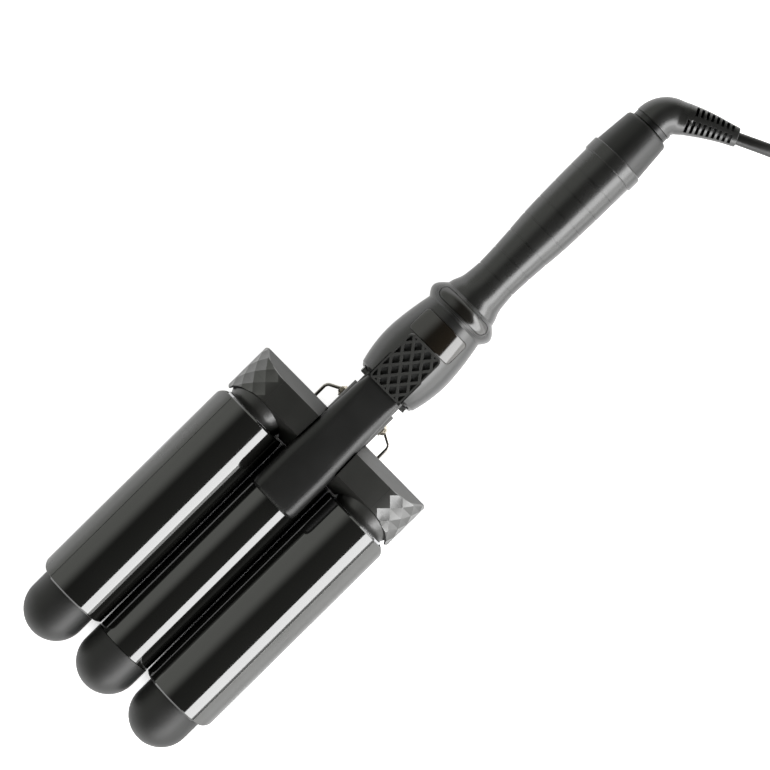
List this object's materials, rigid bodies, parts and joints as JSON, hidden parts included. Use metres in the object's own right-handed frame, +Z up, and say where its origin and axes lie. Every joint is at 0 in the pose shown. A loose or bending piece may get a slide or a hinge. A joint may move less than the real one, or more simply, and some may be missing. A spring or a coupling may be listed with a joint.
{
  "type": "hair waver",
  "caption": "Electric hair waver: parallel heated barrels on a yoke, a lever that lifts the middle barrel, a wire rest, a tapered handle with display and rocker, and a swivel cord with plug.",
  "frame": {"origin": "centre of the tool's footprint without its cord, on the surface that it lies on", "axes": "+X along the tool from the barrel tips to the cord end, +Y across the barrels, +Z up, away from the table, on the display's side"},
  "size_m": [0.5406, 0.1832, 0.0506],
  "materials": {
    "barrel_gloss": "glossy black ceramic coat",
    "guard_satin": "satin heat-proof plastic",
    "tip_satin": "satin heat-proof plastic",
    "body_satin": "soft-touch satin",
    "lens_gloss": "glossy smoked plastic",
    "pad_rubber": "rubber with a raised lattice",
    "cord_rubber": "smooth black jacket",
    "wire_chrome": "polished wire",
    "steel": "plain steel",
    "inner_metal": "plain aluminium",
    "heater_ceramic": "ceramic and insulating film",
    "board_green": "circuit board",
    "inner_plastic": "plain moulded plastic",
    "bush_white": "low-friction white plastic",
    "lead_insulation": "heat-proof insulation",
    "blade_brass": "plated brass"
  },
  "bodies": {
    "tool": {"barrel_left": "barrel_gloss", "barrel_right": "barrel_gloss", "barrel_core_left": "inner_metal", "barrel_core_right": "inner_metal", "side_guard_left": "guard_satin", "side_guard_right": "guard_satin", "barrel_tip_left": "tip_satin", "barrel_tip_right": "tip_satin", "heater_left": "heater_ceramic", "heater_right": "heater_ceramic", "heat_spreader_left": "inner_metal", "heat_spreader_right": "inner_metal", "barrel_collar_left": "body_satin", "barrel_collar_right": "body_satin", "yoke_upper": "body_satin", "yoke_lower": "body_satin", "yoke_screws": "steel", "neck": "body_satin", "neck_wiring": "lead_insulation", "pivot_pin": "steel", "lever_spring": "steel", "stand_bushes": "wire_chrome", "hub_upper_shell": "body_satin", "hub_lower_shell": "body_satin", "hub_screws": "steel", "display_window": "lens_gloss", "display_module": "inner_plastic", "control_board": "board_green", "ring_collar": "body_satin", "rocker_bezel": "body_satin", "rocker_switches": "steel", "handle_spine": "inner_plastic", "handle_grip": "body_satin", "rear_band": "body_satin", "end_cap": "body_satin", "handle_wiring": "lead_insulation", "swivel_bush": "bush_white"},
    "lever": {"lever_arm": "body_satin", "thumb_pad": "pad_rubber", "saddle_rivets": "steel", "barrel_middle": "barrel_gloss", "barrel_tip_middle": "tip_satin", "barrel_collar_middle": "body_satin", "heater_middle": "heater_ceramic", "heat_spreader_middle": "inner_metal"},
    "stand": {"stand_wire": "wire_chrome"},
    "rocker": {"control_rocker": "lens_gloss"},
    "swivel": {"swivel_spindle": "inner_plastic", "cord_elbow": "cord_rubber", "strain_relief": "cord_rubber", "cord_lead": "cord_rubber", "cord_coil": "cord_rubber", "cord_tie": "cord_rubber", "plug_body": "cord_rubber", "plug_blades": "blade_brass"}
  },
  "joints": [
    {"name": "lever_hinge", "type": "hinge", "parent": "tool", "child": "lever", "pos_m": [-0.0024, 0, 0.0282], "axis": [0, 1, 0], "range_deg": [0, 11], "stiffness_Nm_per_rad": 1.2, "springref_deg": -14.32, "deforming": ["lever_spring"]},
    {"name": "stand_hinge", "type": "hinge", "parent": "tool", "child": "stand", "pos_m": [-0.017, 0, 0.0105], "axis": [0, -1, 0], "range_deg": [0, 100]},
    {"name": "rocker_tilt", "type": "hinge", "parent": "tool", "child": "rocker", "pos_m": [0.0515, 0, 0.033], "axis": [1, 0, 0], "range_deg": [-2.5, 2.5], "stiffness_Nm_per_rad": 0.08},
    {"name": "cord_swivel", "type": "hinge", "parent": "tool", "child": "swivel", "pos_m": [0.17, 0, 0.02], "axis": [1, 0, 0], "continuous": true}
  ]
}
